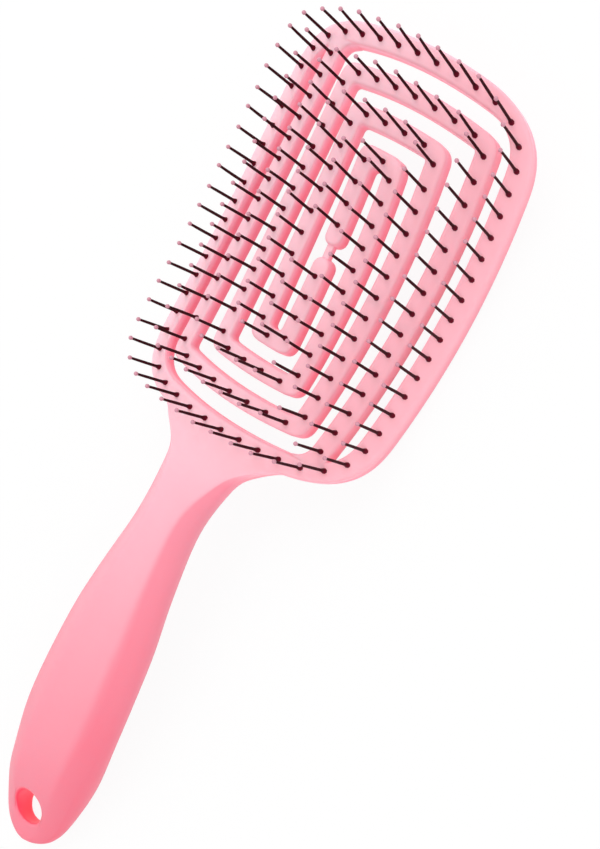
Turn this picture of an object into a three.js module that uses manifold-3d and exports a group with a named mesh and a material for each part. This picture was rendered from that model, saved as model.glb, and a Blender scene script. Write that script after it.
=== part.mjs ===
// Curved vented styling brush with a spiral spring head, lying on its back with the pins up.
// Millimetres. X runs across the head, Y from the tail of the handle to the tip of the head, and
// Z is up from the table. The origin is under the middle of the whole brush.

import * as THREE from "three";
import { mergeVertices } from "three/addons/utils/BufferGeometryUtils.js";
import Module from "manifold-3d";

// Rib centre lines in plan, each step counted outwards from the middle of the head
const middleColumnStep = 9.3;
const innerColumnStep = 8.9;
const ventColumnStep = 10.0;
const outerColumnStep = 8.7;
const innerRowReach = 27.3;
const middleRowStep = 8.9;
const armRowStep = 9.1;
const outerRowStep = 9.7;

// Sideways lean of the inner columns, in millimetres for each millimetre of length
const middleLean = 0.077;
const innerLean = 0.068;
const ventLean = 0.035;

// Bow of the long sides and of the ends, and the rounding of the corners: how far before a corner of
// the centre line its rounding starts. The arms are rounded more on the inside of a corner.
const sideBowRadius = 476;
const endBowRadius = 144;
const ringCorner = 11.5;
const armCornerOutside = 1.0;
const armCornerInside = 4.0;
const cornerSteps = 4;
const stationStep = 12;

// Front face of the head: arched across its width, scooped along its length, tip raised a little
const archRadius = 89;
const edgeDroop = 1.34;
const scoopRadius = 242;
const headTilt = 0.055;

// Rib section: a channel that is open at the back, with a pin strip and a rear cover inside it
const ribWidth = 5.2;
const ringInside = 2.7;
const ringOutside = 3.3;
const frontWall = 1.8;
const sideWall = 1.0;
const endWall = 1.2;
const stripThickness = 1.5;
const coverThickness = 1.4;
const coverRecess = 0.3;
const fitGap = 0.25;
const stripEndGap = 0.7;

// Bending places of the spiral arms, and the thin link between their two free ends
const flexGap = 0.5;
const flexLead = 2.5;
const lobeGap = 3.4;
const linkGap = 1.0;
const linkWidth = 2.2;
const linkDepth = 2.6;

// Pins
const pinPitch = 6.0;
const pinLength = 17;
const pinRootRadius = 0.75;
const pinNeckRadius = 0.38;
const pinBallRadius = 0.65;
const holeClearance = 0.3;

// Handle stations from the shoulder at the head to the tip of the tail: the distance from the middle
// of the head, the half width, and the heights of the front and the back above the table
const shoulderAt = 60.6;
const shoulderHalfWidth = 15.8;
const shoulderFront = 21.6;
const shoulderBack = 15.5;
const throatAt = 66.5;
const throatHalfWidth = 10.7;
const throatFront = 23.0;
const throatBack = 15.8;
const neckAt = 82;
const neckHalfWidth = 9.3;
const neckFront = 26.8;
const neckBack = 15.3;
const riseAt = 101;
const riseHalfWidth = 11.5;
const riseFront = 27.0;
const riseBack = 14.3;
const gripAt = 120;
const gripHalfWidth = 14.1;
const gripFront = 25.4;
const gripBack = 11.3;
const bellyAt = 146;
const bellyHalfWidth = 15.2;
const bellyFront = 21.4;
const bellyBack = 6.8;
const heelAt = 166;
const heelHalfWidth = 13.6;
const heelFront = 16.8;
const heelBack = 0;
const tailAt = 179;
const tailHalfWidth = 10.6;
const tailFront = 9.3;
const tailBack = 0;
const toeAt = 183.7;
const toeHalfWidth = 8.0;
const toeFront = 6.8;
const toeBack = 1.2;
const tipAt = 186.8;
const tipHalfWidth = 3.4;
const tipFront = 5.6;
const tipBack = 2.6;
const rootHalfWidth = 22;
const rootLead = 0.4;
const rootSink = 0.05;
const handleStep = 7;
const handleWall = 2.4;

// Rear cover of the handle, and the hanging hole near the tail
const coverStart = 92;
const coverEnd = 158;
const coverMargin = 1.2;
const handleCoverThickness = 2.0;
const postRadius = 1.8;
const postInset = 12;
const holeAt = 175.8;
const holeLength = 9.4;
const holeWidth = 9.0;

// Sizes that follow from the ones above
const handleStations = [
  { at: shoulderAt, halfWidth: shoulderHalfWidth, front: shoulderFront, back: shoulderBack },
  { at: throatAt, halfWidth: throatHalfWidth, front: throatFront, back: throatBack },
  { at: neckAt, halfWidth: neckHalfWidth, front: neckFront, back: neckBack },
  { at: riseAt, halfWidth: riseHalfWidth, front: riseFront, back: riseBack },
  { at: gripAt, halfWidth: gripHalfWidth, front: gripFront, back: gripBack },
  { at: bellyAt, halfWidth: bellyHalfWidth, front: bellyFront, back: bellyBack },
  { at: heelAt, halfWidth: heelHalfWidth, front: heelFront, back: heelBack },
  { at: tailAt, halfWidth: tailHalfWidth, front: tailFront, back: tailBack },
  { at: toeAt, halfWidth: toeHalfWidth, front: toeFront, back: toeBack },
  { at: tipAt, halfWidth: tipHalfWidth, front: tipFront, back: tipBack },
];
const columnSix = middleColumnStep;
const columnSeven = columnSix + innerColumnStep;
const columnEight = columnSeven + ventColumnStep;
const columnNine = columnEight + outerColumnStep;
const rowFour = innerRowReach;
const rowThree = rowFour + middleRowStep;
const rowTwo = rowThree + armRowStep;
const rowOne = rowTwo + outerRowStep;
const ribHalf = ribWidth / 2;
const ribDepth = frontWall + stripThickness + coverThickness + coverRecess + 2 * fitGap;
const ringChannelHalf = Math.min(ringInside, ringOutside) - sideWall;
const ribChannelHalf = ribHalf - sideWall;
const headCentreY = (tipAt - rowOne - ringOutside) / 2;
const rimReach = columnNine + ringOutside;
const rimDrop =
  (rimReach * rimReach) / (2 * archRadius) +
  edgeDroop * (rimReach / columnNine) ** 4 +
  (headTilt * headTilt * scoopRadius) / 2;
const crownHeight = ribDepth + rimDrop;

// Materials
const pink = new THREE.MeshStandardMaterial({ color: 0xfab4c3, roughness: 0.42, metalness: 0 });
const coverPink = new THREE.MeshStandardMaterial({ color: 0xf59db1, roughness: 0.48, metalness: 0 });
const black = new THREE.MeshStandardMaterial({ color: 0x17120f, roughness: 0.38, metalness: 0 });

const wasm = await Module();
wasm.setup();

const brush = new THREE.Group();

// Height of the head's front face above the table, at a place measured from the middle of the head
function faceHeight(x, y) {
  const arch = (x * x) / (2 * archRadius) + edgeDroop * (x / columnNine) ** 4;
  const scoop = (y * y) / (2 * scoopRadius) + headTilt * y;
  return crownHeight - arch + scoop;
}

// Geometry and solids
function toSolid(geometry) {
  const bare = geometry.clone();
  bare.deleteAttribute("normal");
  bare.deleteAttribute("uv");
  const merged = mergeVertices(bare, 1e-4);
  return new wasm.Manifold(
    new wasm.Mesh({
      numProp: 3,
      vertProperties: new Float32Array(merged.attributes.position.array),
      triVerts: new Uint32Array(merged.index.array),
    }),
  );
}

function toGeometry(solid) {
  const mesh = solid.getMesh();
  const geometry = new THREE.BufferGeometry();
  geometry.setAttribute("position", new THREE.BufferAttribute(mesh.vertProperties, 3));
  geometry.setIndex(new THREE.BufferAttribute(mesh.triVerts, 1));
  geometry.computeVertexNormals();
  return geometry;
}

function addPiece(name, geometry, material) {
  const mesh = new THREE.Mesh(geometry, material);
  mesh.name = name;
  mesh.position.y = headCentreY;
  brush.add(mesh);
}

// Lines of the plan: a column runs along the head, a row across it
function column(x, lean) {
  const bow = Math.sign(x) / (2 * sideBowRadius);
  return { upright: true, at: (y) => new THREE.Vector2(x - lean * y - bow * y * y, y) };
}

function row(y) {
  const bow = Math.sign(y) / (2 * endBowRadius);
  return { upright: false, at: (x) => new THREE.Vector2(x, y - bow * x * x) };
}

function crossing(first, second) {
  const [upright, level] = first.upright ? [first, second] : [second, first];
  let point = upright.at(0);
  for (let i = 0; i < 5; i += 1) {
    point = upright.at(level.at(point.x).y);
  }
  return point;
}

function beside(line, offset) {
  const shift = line.upright ? new THREE.Vector2(offset, 0) : new THREE.Vector2(0, offset);
  return { upright: line.upright, at: (place) => line.at(place).add(shift) };
}

function turnedHalfway(line) {
  return { upright: line.upright, at: (place) => line.at(-place).multiplyScalar(-1) };
}

// A track along several lines of the plan, with a rounded corner between one and the next. An open
// track has a start and an end on its first and last lines. Its middle is the centre line, and corners
// holds the index of the middle point of each rounded corner.
function track(lines, rounding, start, end) {
  const closed = start === undefined;
  const count = lines.length;
  const placeOf = (line, point) => (line.upright ? point.y : point.x);
  const meeting = (i) => crossing(lines[i], lines[(i + 1) % count]);
  const senses = lines.map((line, i) => {
    const from = closed || i > 0 ? placeOf(line, meeting((i + count - 1) % count)) : start;
    const to = closed || i < count - 1 ? placeOf(line, meeting(i)) : end;
    return Math.sign(to - from);
  });
  const turnsLeft = lines.map((line, i) => {
    const next = senses[(i + 1) % count];
    return line.upright ? senses[i] * next < 0 : senses[i] * next > 0;
  });
  const made = { lines, rounding, start, end, closed, senses, turnsLeft, placeOf, steps: [], corners: [] };
  made.middle = edgeOf(made, 0);
  return made;
}

// The edge that runs beside the centre line of a track, at an offset that is positive on its left.
// The centre line is made first, and every edge has as many points as the centre line.
function edgeOf(plan, offset) {
  const { lines, rounding, closed, senses, turnsLeft, placeOf, steps, corners } = plan;
  const count = lines.length;
  const edges = lines.map((line, i) => beside(line, offset * (line.upright ? -senses[i] : senses[i])));
  const setback = (i) => {
    const towards = turnsLeft[i] ? offset : -offset;
    const inner = (1 + Math.sign(towards)) / 2;
    return rounding.outside + (rounding.inside - rounding.outside) * inner - towards;
  };
  const meeting = (i) => crossing(edges[i], edges[(i + 1) % count]);
  const spans = edges.map((line, i) => {
    const last = (i + count - 1) % count;
    const from = closed || i > 0 ? placeOf(line, meeting(last)) + senses[i] * setback(last) : plan.start;
    const to = closed || i < count - 1 ? placeOf(line, meeting(i)) - senses[i] * setback(i) : plan.end;
    return { from, to };
  });
  const points = [];
  edges.forEach((line, i) => {
    const { from, to } = spans[i];
    steps[i] ??= Math.max(1, Math.ceil(Math.abs(to - from) / stationStep));
    for (let k = 0; k <= steps[i]; k += 1) {
      points.push(line.at(from + ((to - from) * k) / steps[i]));
    }
    if (!closed && i === count - 1) {
      return;
    }
    const next = (i + 1) % count;
    const bend = new THREE.QuadraticBezierCurve(line.at(to), meeting(i), edges[next].at(spans[next].from));
    corners[i] ??= points.length + Math.floor(cornerSteps / 2) - 1;
    points.push(...bend.getPoints(cornerSteps).slice(1, -1));
  });
  return points;
}

// Distances along a centre line
function distances(points) {
  const list = [0];
  for (let i = 1; i < points.length; i += 1) {
    list.push(list[i - 1] + points[i].distanceTo(points[i - 1]));
  }
  return list;
}

function pointAt(points, list, distance) {
  let i = 1;
  while (i < points.length - 1 && list[i] < distance) {
    i += 1;
  }
  const share = (distance - list[i - 1]) / (list[i] - list[i - 1]);
  return points[i - 1].clone().lerp(points[i], share);
}

function spotsBetween(points, from, to) {
  const list = distances(points);
  const count = Math.round((to - from) / pinPitch);
  const spots = [];
  for (let i = 0; i < count; i += 1) {
    spots.push(pointAt(points, list, from + ((to - from) * (i + 0.5)) / count));
  }
  return spots;
}

// A closed line is followed twice round, so that a part of it may pass its first point
function wholeRun({ closed }, points) {
  return closed ? [...points, ...points, points[0]] : points;
}

// A closed body through a row of sections that all have the same number of points.
// Each section runs clockwise when it is seen from the next one.
function loft(sections, closed) {
  const size = sections[0].length;
  const count = sections.length;
  const vertices = sections.flat().flatMap((p) => [p.x, p.y, p.z]);
  const faces = [];
  for (let s = 0; s < (closed ? count : count - 1); s += 1) {
    const here = s * size;
    const next = ((s + 1) % count) * size;
    for (let i = 0; i < size; i += 1) {
      const j = (i + 1) % size;
      faces.push(here + i, here + j, next + i, here + j, next + j, next + i);
    }
  }
  const end = (count - 1) * size;
  for (let i = 1; i < size - 1 && !closed; i += 1) {
    faces.push(0, i + 1, i);
    faces.push(end, end + i, end + i + 1);
  }
  const geometry = new THREE.BufferGeometry();
  geometry.setAttribute("position", new THREE.Float32BufferAttribute(vertices, 3));
  geometry.setIndex(faces);
  return geometry;
}

// A ribbon along a track on the head, or along the part of it from one distance to another. Its bottom
// and top are counted from the curved front face, and a round end narrows it over its last half width.
function ribbon(plan, left, right, bottom, top, part = {}) {
  let lefts = edgeOf(plan, left);
  let rights = edgeOf(plan, -right);
  const whole = part.to === undefined;
  if (!whole) {
    const list = distances(wholeRun(plan, plan.middle));
    const cut = (points) => {
      const run = wholeRun(plan, points);
      const inside = run.filter((p, i) => list[i] > part.from + 0.2 && list[i] < part.to - 0.2);
      return [pointAt(run, list, part.from), ...inside, pointAt(run, list, part.to)];
    };
    lefts = cut(lefts);
    rights = cut(rights);
  }
  if (part.round) {
    const end = lefts.length - 1;
    const centre = lefts[end].clone().lerp(rights[end], 0.5);
    const reach = lefts[end].clone().sub(centre);
    const ahead = new THREE.Vector2(reach.y, -reach.x);
    for (const angle of [0.35, 0.7, 1.05, 1.35]) {
      const middle = centre.clone().addScaledVector(ahead, Math.sin(angle));
      lefts.push(middle.clone().addScaledVector(reach, Math.cos(angle)));
      rights.push(middle.clone().addScaledVector(reach, -Math.cos(angle)));
    }
  }
  const onFace = ({ x, y }, height) => new THREE.Vector3(x, y, faceHeight(x, y) + height);
  const sections = lefts.map((point, i) => [
    onFace(rights[i], top),
    onFace(rights[i], bottom),
    onFace(point, bottom),
    onFace(point, top),
  ]);
  return loft(sections, plan.closed && whole);
}

// Pins and the square holes that they pass through
const holeRadius = pinRootRadius + holeClearance * Math.SQRT2;
const stripTop = -frontWall - fitGap;
const coverTop = stripTop - stripThickness - fitGap;

function pinAt(spot) {
  const foot = stripTop - stripThickness / 2;
  const ballMiddle = pinLength - pinBallRadius;
  const profile = [
    new THREE.Vector2(0, foot),
    new THREE.Vector2(pinRootRadius, foot),
    new THREE.Vector2(pinNeckRadius, ballMiddle - pinBallRadius),
    new THREE.Vector2(pinBallRadius, ballMiddle),
    new THREE.Vector2(0, pinLength),
  ];
  const pin = new THREE.LatheGeometry(profile, 4).rotateX(Math.PI / 2);
  return pin.translate(spot.x, spot.y, faceHeight(spot.x, spot.y));
}

function holeAtSpot(spot) {
  const hole = new THREE.CylinderGeometry(holeRadius, holeRadius, 2 * ribDepth, 4);
  return hole.rotateX(Math.PI / 2).translate(spot.x, spot.y, faceHeight(spot.x, spot.y));
}

function withHoles(solid, spots) {
  return spots.reduce((rest, spot) => rest.subtract(toSolid(holeAtSpot(spot))), solid);
}

// A strip of pins along part of a track
function pinStrip(plan, half, from, to, spots) {
  const side = half - fitGap;
  const bar = ribbon(plan, side, side, stripTop - stripThickness, stripTop, { from, to });
  return spots.reduce((strip, spot) => strip.add(toSolid(pinAt(spot))), toSolid(bar));
}

// One length of a spiral arm: the channelled rib, its pin strips and its rear cover.
// breaks are the distances along the rib where one strip ends and the next begins.
function addArmLength(name, plan, breakCorners, tip) {
  const list = distances(plan.middle);
  const length = list[list.length - 1];
  const breaks = [0, ...breakCorners.map((corner) => list[plan.corners[corner]]), length];
  const inEnd = endWall + fitGap;
  const strips = breaks.slice(1).map((to, i) => {
    const from = breaks[i];
    return {
      from: Math.max(from + stripEndGap, inEnd),
      to: Math.min(to - stripEndGap, length - inEnd),
      spots: spotsBetween(plan.middle, from, to),
    };
  });
  const spots = strips.flatMap((strip) => strip.spots);
  let rib = toSolid(ribbon(plan, ribHalf, ribHalf, -ribDepth, 0, { round: tip.round }));
  if (tip.link) {
    rib = rib.add(toSolid(tip.link));
  }
  rib = rib.subtract(toSolid(ringRoom));
  const inChannel = { from: endWall, to: length - endWall };
  const channel = ribbon(plan, ribChannelHalf, ribChannelHalf, -2 * ribDepth, -frontWall, inChannel);
  rib = withHoles(rib.subtract(toSolid(channel)), spots);
  addPiece(`${name}_rib`, toGeometry(rib), pink);
  strips.forEach((strip, i) => {
    const made = pinStrip(plan, ribChannelHalf, strip.from, strip.to, strip.spots);
    addPiece(`${name}_pins_${i + 1}`, toGeometry(made), black);
  });
  const inCover = { from: inEnd, to: length - inEnd };
  const coverHalf = ribChannelHalf - fitGap;
  const cover = ribbon(plan, coverHalf, coverHalf, coverTop - coverThickness, coverTop, inCover);
  addPiece(`${name}_cover`, cover, coverPink);
}

// Outer ring of the head, and the room that the roots of the arms leave round it
const ringLines = [column(columnNine, 0), row(rowOne), column(-columnNine, 0), row(-rowOne)];
const ring = track(ringLines, { outside: ringCorner, inside: ringCorner });
const ringRoom = ribbon(ring, ringInside + flexGap, ringOutside, -2 * ribDepth, ribDepth);

// Centre lines of the spiral arms, for the arm that is rooted at the handle end on the right.
// The other arm is the same line turned halfway round.
const eighthColumn = column(columnEight, 0);
const thirdColumn = column(-columnSeven, ventLean);
const sixthColumn = column(columnSix, innerLean);
const fifthColumn = column(0, middleLean);
const rootY = crossing(eighthColumn, row(-rowOne)).y + ringInside + flexGap;
const firstBendY = crossing(eighthColumn, row(rowTwo)).y - armCornerInside - flexLead;
const secondBendY = crossing(thirdColumn, row(-rowThree)).y + armCornerInside + flexLead;
const lobeY = lobeGap / 2 + ribHalf;
const armRounding = { outside: armCornerOutside, inside: armCornerInside };
const armLengths = [
  { lines: [eighthColumn], start: rootY, end: firstBendY, breaks: [] },
  {
    lines: [eighthColumn, row(rowTwo), thirdColumn],
    start: firstBendY + flexGap,
    end: secondBendY,
    breaks: [1],
  },
  {
    lines: [thirdColumn, row(-rowThree), sixthColumn, row(rowFour), fifthColumn],
    start: secondBendY - flexGap,
    end: lobeY,
    breaks: [1, 2],
  },
];

// The link runs from the end of the first arm almost to the end of the second
const linkTrack = track(
  [fifthColumn], armRounding, lobeGap / 2 + ribHalf / 2, linkGap - lobeGap / 2,
);
const linkTop = -frontWall / 2;
const link = ribbon(linkTrack, linkWidth / 2, linkWidth / 2, linkTop - linkDepth, linkTop);
armLengths.forEach(({ lines, start, end, breaks }, i) => {
  const last = i === armLengths.length - 1;
  const plain = { round: last };
  const linked = { round: last, link: last ? link : null };
  addArmLength(`arm_a${i + 1}`, track(lines, armRounding, start, end), breaks, linked);
  const otherWay = track(lines.map(turnedHalfway), armRounding, -start, -end);
  addArmLength(`arm_b${i + 1}`, otherWay, breaks, plain);
});

// Ring: its channel, four pin strips and one rear cover all the way round
const twiceRound = wholeRun(ring, ring.middle);
const ringList = distances(twiceRound);
const ringLength = ringList[ring.middle.length];
const cornerPlaces = ring.corners.map((corner) => ringList[corner]);
const ringNames = ["left", "bottom", "right", "top"];
const ringStrips = ringNames.map((name, i) => {
  const from = cornerPlaces[(i + 1) % 4];
  const to = cornerPlaces[(i + 2) % 4];
  const far = to > from ? to : to + ringLength;
  return { name, from, to: far, spots: spotsBetween(twiceRound, from, far) };
});
const ringSpots = ringStrips.flatMap((strip) => strip.spots);
const ringRibbon = ribbon(ring, ringInside, ringOutside, -ribDepth, 0);
const ringChannel = ribbon(ring, ringChannelHalf, ringChannelHalf, -2 * ribDepth, -frontWall);
const ringSolid = withHoles(toSolid(ringRibbon).subtract(toSolid(ringChannel)), ringSpots);
for (const strip of ringStrips) {
  const from = strip.from + stripEndGap;
  const to = strip.to - stripEndGap;
  const made = pinStrip(ring, ringChannelHalf, from, to, strip.spots);
  addPiece(`ring_pins_${strip.name}`, toGeometry(made), black);
}
const ringCoverHalf = ringChannelHalf - fitGap;
const ringCover = ribbon(ring, ringCoverHalf, ringCoverHalf, coverTop - coverThickness, coverTop);
addPiece("ring_cover", ringCover, coverPink);

// Handle: sections along the length, each a soft outline with a flat front and back, and sloping flanks
const rootAt = rowOne + ringChannelHalf + rootLead;
const rootStation = {
  at: rootAt,
  halfWidth: rootHalfWidth,
  front: faceHeight(0, -rootAt) - rootSink,
  back: faceHeight(0, -rootAt) - ribDepth + rootSink,
};
const stations = [rootStation, ...handleStations];

// A smooth curve through the stations that never overshoots them
function smoothAt(key, at) {
  let i = 0;
  while (i < stations.length - 2 && stations[i + 1].at < at) {
    i += 1;
  }
  const slopeBetween = (k) =>
    (stations[k + 1][key] - stations[k][key]) / (stations[k + 1].at - stations[k].at);
  const slopeAt = (k) => {
    if (k === 0 || k === stations.length - 1) {
      return slopeBetween(Math.min(k, stations.length - 2));
    }
    const before = slopeBetween(k - 1);
    const after = slopeBetween(k);
    return before * after > 0 ? (2 * before * after) / (before + after) : 0;
  };
  const span = stations[i + 1].at - stations[i].at;
  const t = (at - stations[i].at) / span;
  const low = stations[i][key];
  const high = stations[i + 1][key];
  return (
    low * (1 + 2 * t) * (1 - t) ** 2 +
    high * t * t * (3 - 2 * t) +
    span * t * (1 - t) * (slopeAt(i) * (1 - t) - slopeAt(i + 1) * t)
  );
}

// Across the section: share of the half width, and share of the height from back to front
const flatShare = 0.52;
const sectionOutline = [
  [0, 1],
  [flatShare, 0.97],
  [0.86, 0.77],
  [1, 0.6],
  [0.985, 0.32],
  [0.84, 0.09],
  [flatShare, 0],
];
const outlineRound = [
  ...sectionOutline,
  ...sectionOutline.slice(1).reverse().map(([x, height]) => [-x, height]),
];
outlineRound.splice(sectionOutline.length, 0, [0, 0]);

function handleSection(at) {
  const halfWidth = smoothAt("halfWidth", at);
  const front = smoothAt("front", at);
  const back = smoothAt("back", at);
  const rimShare = Math.max(0, 1 - (at - rootAt) / (neckAt - rootAt));
  return outlineRound.map(([share, height]) => {
    const x = -share * halfWidth;
    const bow = (rimShare * x * x) / (2 * endBowRadius);
    const arch = (rimShare * x * x) / (2 * archRadius);
    return new THREE.Vector3(x, -at + bow, back + (front - back) * height - arch);
  });
}

function placesBetween(from, to, step) {
  const count = Math.max(1, Math.round((to - from) / step));
  return Array.from({ length: count + 1 }, (_, i) => from + ((to - from) * i) / count);
}

const handlePlaces = stations.slice(1).flatMap((station, i) => {
  const places = placesBetween(stations[i].at, station.at, handleStep);
  return i === 0 ? places : places.slice(1);
});
const handle = loft(handlePlaces.map(handleSection));

// Hollow of the handle, open at the back, and the cover that closes it
function boxSection(at, half, bottom, top) {
  return [
    new THREE.Vector3(-half, -at, top),
    new THREE.Vector3(-half, -at, bottom),
    new THREE.Vector3(half, -at, bottom),
    new THREE.Vector3(half, -at, top),
  ];
}

function coverHalfAt(at) {
  return flatShare * smoothAt("halfWidth", at) - coverMargin;
}

const inHandle = handlePlaces.filter((at) => at > coverStart && at < coverEnd);
const hollowPlaces = [coverStart, ...inHandle, coverEnd];
const hollow = loft(
  hollowPlaces.map((at) =>
    boxSection(at, coverHalfAt(at), smoothAt("back", at) - ribDepth, smoothAt("front", at) - handleWall),
  ),
);
const coverPlaces = [coverStart + fitGap, ...inHandle, coverEnd - fitGap];
let handleCover = toSolid(
  loft(
    coverPlaces.map((at) => {
      const back = smoothAt("back", at) + coverRecess;
      return boxSection(at, coverHalfAt(at) - fitGap, back, back + handleCoverThickness);
    }),
  ),
);
for (const at of [coverStart + postInset, coverEnd - postInset]) {
  const bottom = smoothAt("back", at) + coverRecess + handleCoverThickness / 2;
  const roof = Math.min(smoothAt("front", at - postRadius), smoothAt("front", at + postRadius));
  const top = roof - handleWall - 2 * fitGap;
  const post = new THREE.CylinderGeometry(postRadius, postRadius, top - bottom, 8);
  post.rotateX(Math.PI / 2).translate(0, -at, (top + bottom) / 2);
  handleCover = handleCover.add(toSolid(post));
}
addPiece("handle_cover", toGeometry(handleCover), coverPink);

const holeShape = new THREE.Shape();
holeShape.absellipse(0, -holeAt, holeWidth / 2, holeLength / 2, 0, 2 * Math.PI);
const hangingHole = new THREE.ExtrudeGeometry(holeShape, {
  depth: 3 * crownHeight,
  bevelEnabled: false,
  curveSegments: 16,
});
hangingHole.translate(0, 0, -crownHeight);
const body = ringSolid
  .add(toSolid(handle))
  .subtract(toSolid(hollow))
  .subtract(toSolid(hangingHole));
addPiece("body_frame", toGeometry(body), pink);

export default brush;
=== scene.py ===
# %% [markdown]
# # A vented styling brush with a spiral spring head
# The brush lies on its back with its pins up. Its head is a rectangular ring on the end of an arched
# handle. Two spiral arms fill the ring: each grows out of it near one corner and winds inwards, and a
# thin link joins the two in the middle. Rows of black pins with pink ball tips stand on every rib.
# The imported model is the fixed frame, and every piece below is built in the same place around it.

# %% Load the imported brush
import math
import random

import bmesh
import bpy
from mathutils import Matrix, Vector


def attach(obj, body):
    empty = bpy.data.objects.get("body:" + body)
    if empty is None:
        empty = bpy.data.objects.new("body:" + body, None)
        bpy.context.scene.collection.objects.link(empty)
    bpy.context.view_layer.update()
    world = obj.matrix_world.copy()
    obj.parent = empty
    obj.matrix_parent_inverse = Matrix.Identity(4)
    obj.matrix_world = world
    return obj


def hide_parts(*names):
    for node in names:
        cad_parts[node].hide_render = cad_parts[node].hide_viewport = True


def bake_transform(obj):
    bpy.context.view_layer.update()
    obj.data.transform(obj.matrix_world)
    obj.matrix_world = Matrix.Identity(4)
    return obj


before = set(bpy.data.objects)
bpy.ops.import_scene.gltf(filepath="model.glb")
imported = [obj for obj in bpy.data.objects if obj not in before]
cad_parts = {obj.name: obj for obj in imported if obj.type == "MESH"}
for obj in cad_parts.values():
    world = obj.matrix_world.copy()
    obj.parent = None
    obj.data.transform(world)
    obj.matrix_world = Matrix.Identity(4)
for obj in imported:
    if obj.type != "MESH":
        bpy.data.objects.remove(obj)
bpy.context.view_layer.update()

# %% [markdown]
# Sizes are easier to read in millimetres, so the shapes are made in millimetres with the origin under
# the middle of the head, and each finished mesh is moved into the frame, which is in metres. The front
# face of the head is one curved surface, arched across and scooped along, so its height is a formula
# that the ribs, the pins and the camera all share.

# %% The curved face of the head
HEAD_Y = 64.25
CROWN = 16.8325
OUTER_COLUMN = 36.9
ARCH_RADIUS = 89.0
EDGE_DROOP = 1.34
SCOOP_RADIUS = 242.0
HEAD_TILT = 0.055
TO_FRAME = Matrix.Scale(0.001, 4) @ Matrix.Translation((0, HEAD_Y, 0))


def face_height(x, y):
    arch = x * x / (2 * ARCH_RADIUS) + EDGE_DROOP * (x / OUTER_COLUMN) ** 4
    scoop = y * y / (2 * SCOOP_RADIUS) + HEAD_TILT * y
    return CROWN - arch + scoop


def face_normal(x, y):
    across = -x / ARCH_RADIUS - 4 * EDGE_DROOP * x ** 3 / OUTER_COLUMN ** 4
    along = y / SCOOP_RADIUS + HEAD_TILT
    return Vector((-across, -along, 1)).normalized()


print("the face is", round(face_height(OUTER_COLUMN, 0), 2), "mm high at its long edge")

# %% [markdown]
# The camera comes first. It looks down on the pins from a little under 40 centimetres, some 25 degrees
# off the upright, and is turned so that the handle runs to the lower left corner. Its place is counted
# from the crown of the head, which lands above the middle of a picture of 600 by 849 pixels.

# %% Camera
PICTURE = (600, 849)
VIEW_YAW = 0.41577
VIEW_PITCH = -0.09909
VIEW_ROLL = 0.51128
VIEW_DISTANCE = 380.0
FOCAL_PIXELS = 1433.8
CROWN_PIXEL = (326.4, 250.9)
SENSOR = 36.0
NEAREST_SEEN = 0.01

back = Vector((
    math.sin(VIEW_YAW) * math.cos(VIEW_PITCH),
    -math.sin(VIEW_PITCH),
    math.cos(VIEW_YAW) * math.cos(VIEW_PITCH),
))
level = Vector((0, 1, 0)).cross(back).normalized()
rise = back.cross(level)
right = level * math.cos(VIEW_ROLL) + rise * math.sin(VIEW_ROLL)
up = rise * math.cos(VIEW_ROLL) - level * math.sin(VIEW_ROLL)
aside = (CROWN_PIXEL[0] - PICTURE[0] / 2) * VIEW_DISTANCE / FOCAL_PIXELS
above = (PICTURE[1] / 2 - CROWN_PIXEL[1]) * VIEW_DISTANCE / FOCAL_PIXELS
eye = Vector((0, 0, CROWN)) + back * VIEW_DISTANCE - right * aside - up * above

camera = bpy.data.objects.new("camera", bpy.data.cameras.new("camera"))
bpy.context.scene.collection.objects.link(camera)
view_turn = Matrix((right, up, back)).transposed().to_4x4()
camera.matrix_world = Matrix.Translation(TO_FRAME @ eye) @ view_turn
camera.data.sensor_width = SENSOR
camera.data.lens = FOCAL_PIXELS * SENSOR / max(PICTURE)
camera.data.clip_start = NEAREST_SEEN
bpy.context.scene.camera = camera
print("lens", round(camera.data.lens, 1), "mm")

# %% [markdown]
# A finish is a small network of nodes. Written as plain arithmetic it is much easier to follow, so one
# class wraps a socket and turns + - and * into Math nodes, and another makes any other node from its
# settings and its inputs. The helper ramp goes from 0 to 1 between two values, and stays at 0 or 1 beyond
# them.

# %% Writing shader maths as expressions
class Socket:
    def __init__(self, finish, socket):
        self.finish = finish
        self.socket = socket

    def math(self, operation, first, second):
        return self.finish.node("ShaderNodeMath", {"operation": operation}, {0: first, 1: second})

    def __add__(self, other):
        return self.math("ADD", self, other)

    def __sub__(self, other):
        return self.math("SUBTRACT", self, other)

    def __rsub__(self, other):
        return self.math("SUBTRACT", other, self)

    def __mul__(self, other):
        return self.math("MULTIPLY", self, other)

    __radd__ = __add__
    __rmul__ = __mul__


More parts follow.
